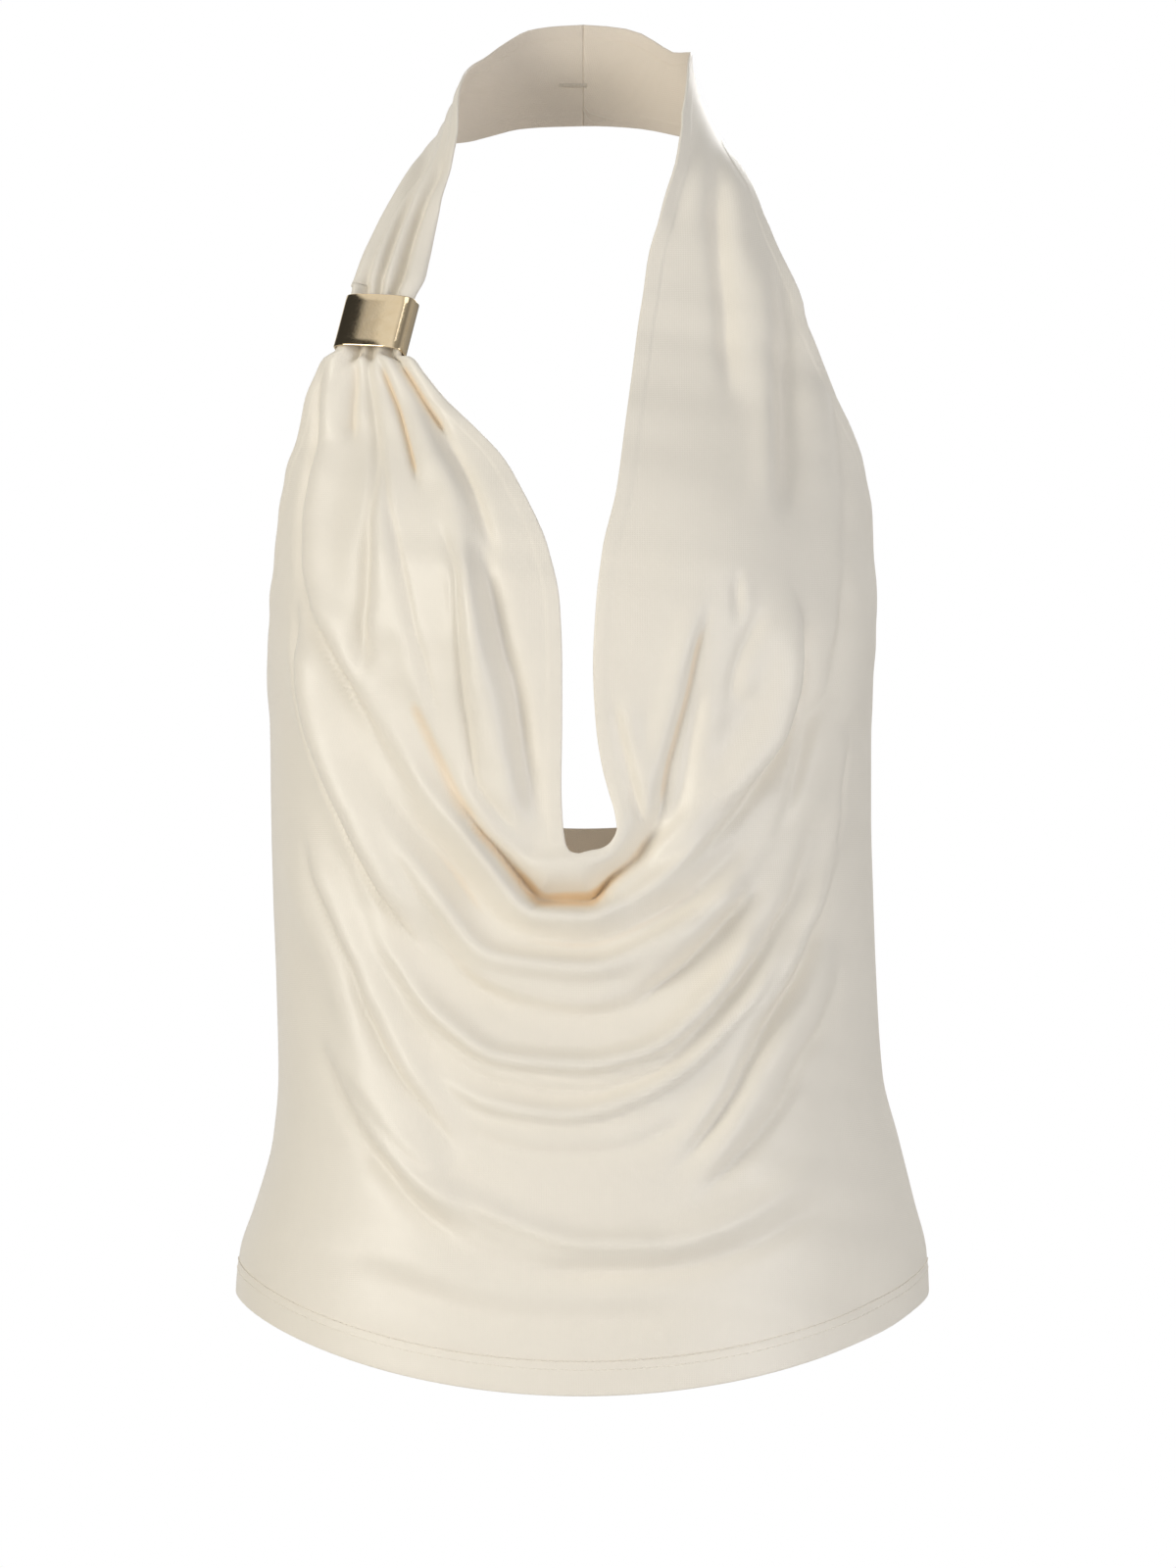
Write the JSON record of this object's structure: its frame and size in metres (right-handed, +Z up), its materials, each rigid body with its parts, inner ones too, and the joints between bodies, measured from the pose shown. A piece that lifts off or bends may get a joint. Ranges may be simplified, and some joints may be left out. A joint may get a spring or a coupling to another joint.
{
  "type": "halter neck top",
  "caption": "Halter neck top with a deep draped cowl front, a low back, a wide plain strap and a narrow strap gathered through a flattened metal ring.",
  "frame": {"origin": "nape: inner face of the neck band at its centre back, at the middle of its height", "axes": "+Z up along the wearer, the front faces -Y, the strap with the ring is on the -X side"},
  "size_m": [0.3308, 0.2354, 0.6509],
  "materials": {
    "cloth": "cream satin-faced stretch jersey with a soft sheen",
    "ring": "polished light gold plate"
  },
  "bodies": {
    "root": {"front_panel": "cloth", "back_panel": "cloth", "ring_side_strap": "cloth", "plain_side_strap": "cloth", "strap_ring": "ring"}
  },
  "joints": []
}
